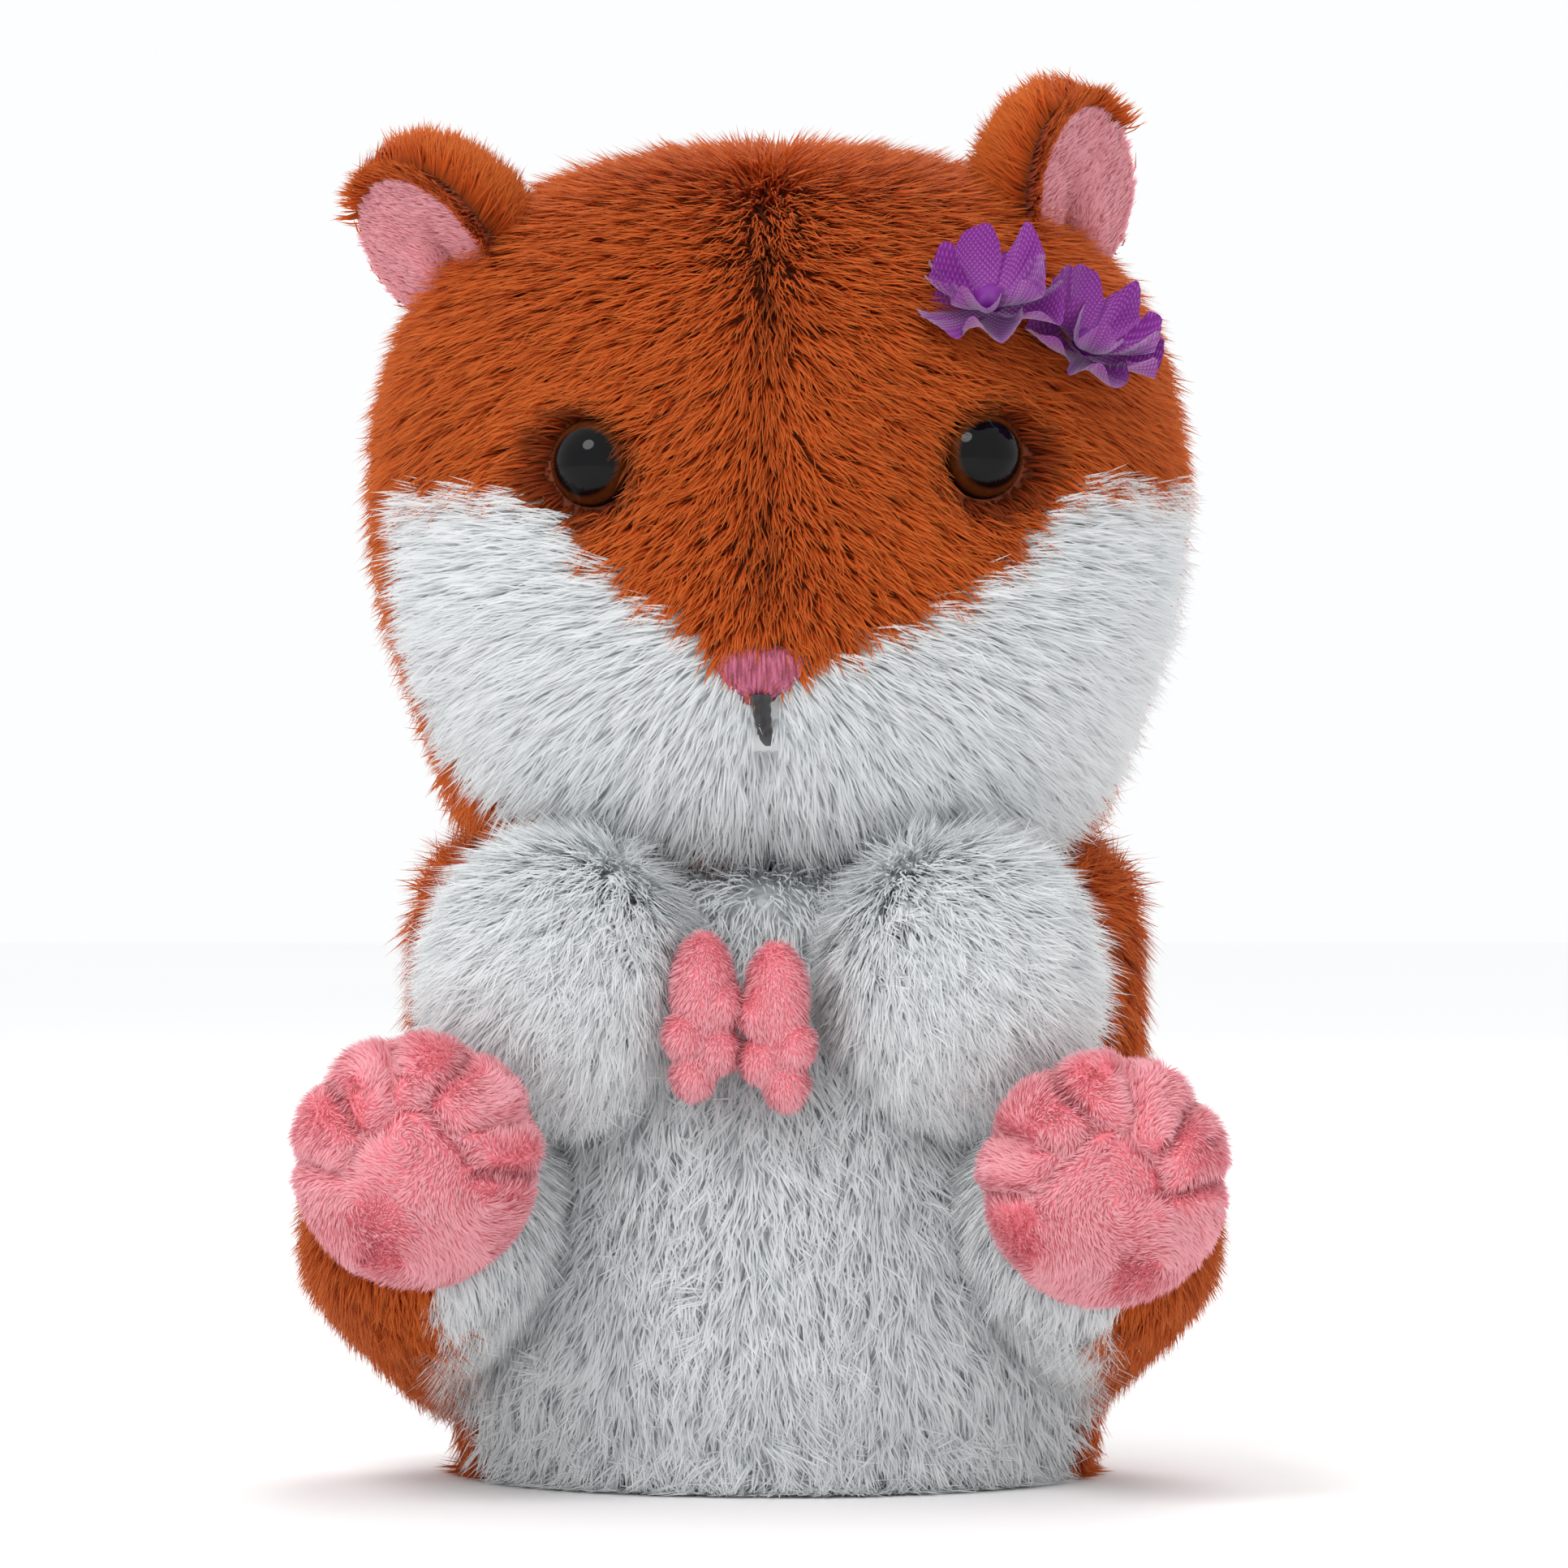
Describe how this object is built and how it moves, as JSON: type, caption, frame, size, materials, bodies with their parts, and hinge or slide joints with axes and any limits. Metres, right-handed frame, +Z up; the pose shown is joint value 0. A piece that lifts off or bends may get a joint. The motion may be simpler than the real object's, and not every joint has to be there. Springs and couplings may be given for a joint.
{
  "type": "interactive plush animal",
  "caption": "Sitting stuffed hamster in orange, white and pink pile with fabric flowers at one ear, touch buttons and a motor that turns its head.",
  "frame": {"origin": "centre of the flat underside of the base plate that the toy sits on", "axes": "+Z up, -Y the way the face looks, +X the animal's own left"},
  "size_m": [0.138, 0.1305, 0.2075],
  "materials": {
    "orange_pile": "long orange pile",
    "white_pile": "long white pile",
    "pink_pile": "short pink pile",
    "purple_cloth": "plain woven cloth",
    "stuffing_fibre": "loose fibre",
    "nose_thread": "embroidery thread",
    "mouth_thread": "embroidery thread",
    "eye_gloss": "polished dome",
    "base_plastic": "fine moulded texture",
    "casing_plastic": "moulded",
    "washer_plastic": "moulded",
    "button_plastic": "moulded",
    "black_plastic": "moulded",
    "gear_plastic": "moulded acetal",
    "pinion_brass": "cut",
    "steel": "turned",
    "screw_steel": "zinc plated",
    "contact_steel": "nickel plated",
    "cell_jacket": "printed jacket without text",
    "board_green": "solder mask",
    "board_black": "moulded",
    "speaker_black": "satin",
    "microphone_metal": "satin"
  },
  "bodies": {
    "torso": {"base_plate": "base_plastic", "battery_tray": "casing_plastic", "battery_cells": "cell_jacket", "battery_contacts": "contact_steel", "switch_housing": "black_plastic", "torso_front": "casing_plastic", "torso_back": "casing_plastic", "casing_screws": "screw_steel", "gear_deck": "casing_plastic", "gear_axles": "steel", "motor": "steel", "neck_bush": "gear_plastic", "belly_switch": "black_plastic", "circuit_board": "board_green", "board_parts": "board_black", "speaker": "speaker_black", "microphone": "microphone_metal", "belly_cover": "white_pile", "back_cover": "orange_pile", "body_stuffing": "stuffing_fibre", "tail": "orange_pile"},
    "head": {"head_cup": "casing_plastic", "head_cap": "casing_plastic", "neck_gear": "gear_plastic", "crown_switch": "black_plastic", "crown_cover": "orange_pile", "left_cheek_cover": "white_pile", "right_cheek_cover": "white_pile", "head_stuffing": "stuffing_fibre", "nose": "nose_thread", "mouth": "mouth_thread", "left_eye": "eye_gloss", "right_eye": "eye_gloss", "left_eye_washer": "washer_plastic", "right_eye_washer": "washer_plastic", "left_ear": "orange_pile", "left_ear_lining": "pink_pile", "right_ear": "orange_pile", "right_ear_lining": "pink_pile", "flower_outer": "purple_cloth", "flower_inner": "purple_cloth", "flower_knots": "purple_cloth"},
    "motor_rotor": {"motor_shaft": "steel", "motor_pinion": "pinion_brass"},
    "first_gear": {"first_gear": "gear_plastic"},
    "second_gear": {"second_gear": "gear_plastic"},
    "belly_button": {"belly_button": "button_plastic"},
    "crown_button": {"crown_button": "button_plastic"},
    "power_slider": {"power_slider": "black_plastic"},
    "battery_door": {"battery_door": "base_plastic"},
    "battery_door_screw": {"battery_door_screw": "screw_steel"},
    "left_arm": {"left_arm": "white_pile", "left_hand": "pink_pile"},
    "right_arm": {"right_arm": "white_pile", "right_hand": "pink_pile"},
    "left_leg": {"left_leg": "white_pile", "left_foot": "pink_pile"},
    "right_leg": {"right_leg": "white_pile", "right_foot": "pink_pile"}
  },
  "joints": [
    {"name": "head_turn", "type": "hinge", "parent": "torso", "child": "head", "pos_m": [0, 0, 0.09], "axis": [0, 0, 1], "range_deg": [-20, 20]},
    {"name": "second_gear_spin", "type": "hinge", "parent": "torso", "child": "second_gear", "pos_m": [0.01798, 0.00877, 0.07], "axis": [0, 0, 1], "range_deg": [-85, 85]},
    {"name": "first_gear_spin", "type": "hinge", "parent": "torso", "child": "first_gear", "pos_m": [0.01326, -0.0042, 0.066], "axis": [0, 0, 1], "range_deg": [-300, 300]},
    {"name": "motor_spin", "type": "hinge", "parent": "torso", "child": "motor_rotor", "pos_m": [-0.00054, -0.0042, 0.06], "axis": [0, 0, 1], "range_deg": [-1050, 1050]},
    {"name": "belly_press", "type": "slide", "parent": "torso", "child": "belly_button", "axis": [0, 1, 0], "range_m": [0, 0.0015], "stiffness_N_per_m": 300, "springref_m": -0.0005},
    {"name": "crown_press", "type": "slide", "parent": "head", "child": "crown_button", "axis": [0, 0, -1], "range_m": [0, 0.0015], "stiffness_N_per_m": 300, "springref_m": -0.0005},
    {"name": "power_slide", "type": "slide", "parent": "torso", "child": "power_slider", "axis": [1, 0, 0], "range_m": [0, 0.004]},
    {"name": "battery_door_open", "type": "hinge", "parent": "torso", "child": "battery_door", "pos_m": [0, 0.0206, 0.0012], "axis": [1, 0, 0], "range_deg": [0, 95]},
    {"name": "door_screw_turn", "type": "hinge", "parent": "battery_door", "child": "battery_door_screw", "pos_m": [0.017, -0.018, 0.001], "axis": [0, 0, 1], "range_deg": [-360, 360]},
    {"name": "left_arm_swing", "type": "hinge", "parent": "torso", "child": "left_arm", "pos_m": [0.027, -0.043, 0.0895], "axis": [1, 0, 0], "range_deg": [-15, 0], "stiffness_Nm_per_rad": 0.08},
    {"name": "right_arm_swing", "type": "hinge", "parent": "torso", "child": "right_arm", "pos_m": [-0.027, -0.043, 0.0895], "axis": [1, 0, 0], "range_deg": [-15, 0], "stiffness_Nm_per_rad": 0.08},
    {"name": "left_leg_swing", "type": "hinge", "parent": "torso", "child": "left_leg", "pos_m": [0.053, -0.004, 0.027], "axis": [1, 0, 0], "range_deg": [0, 8], "stiffness_Nm_per_rad": 0.6},
    {"name": "right_leg_swing", "type": "hinge", "parent": "torso", "child": "right_leg", "pos_m": [-0.053, -0.004, 0.027], "axis": [1, 0, 0], "range_deg": [0, 8], "stiffness_Nm_per_rad": 0.6}
  ],
  "couplings": [
    {"joint": "second_gear_spin", "follows": "head_turn", "ratio": -4},
    {"joint": "first_gear_spin", "follows": "head_turn", "ratio": 14.4},
    {"joint": "motor_spin", "follows": "head_turn", "ratio": -51.84}
  ]
}
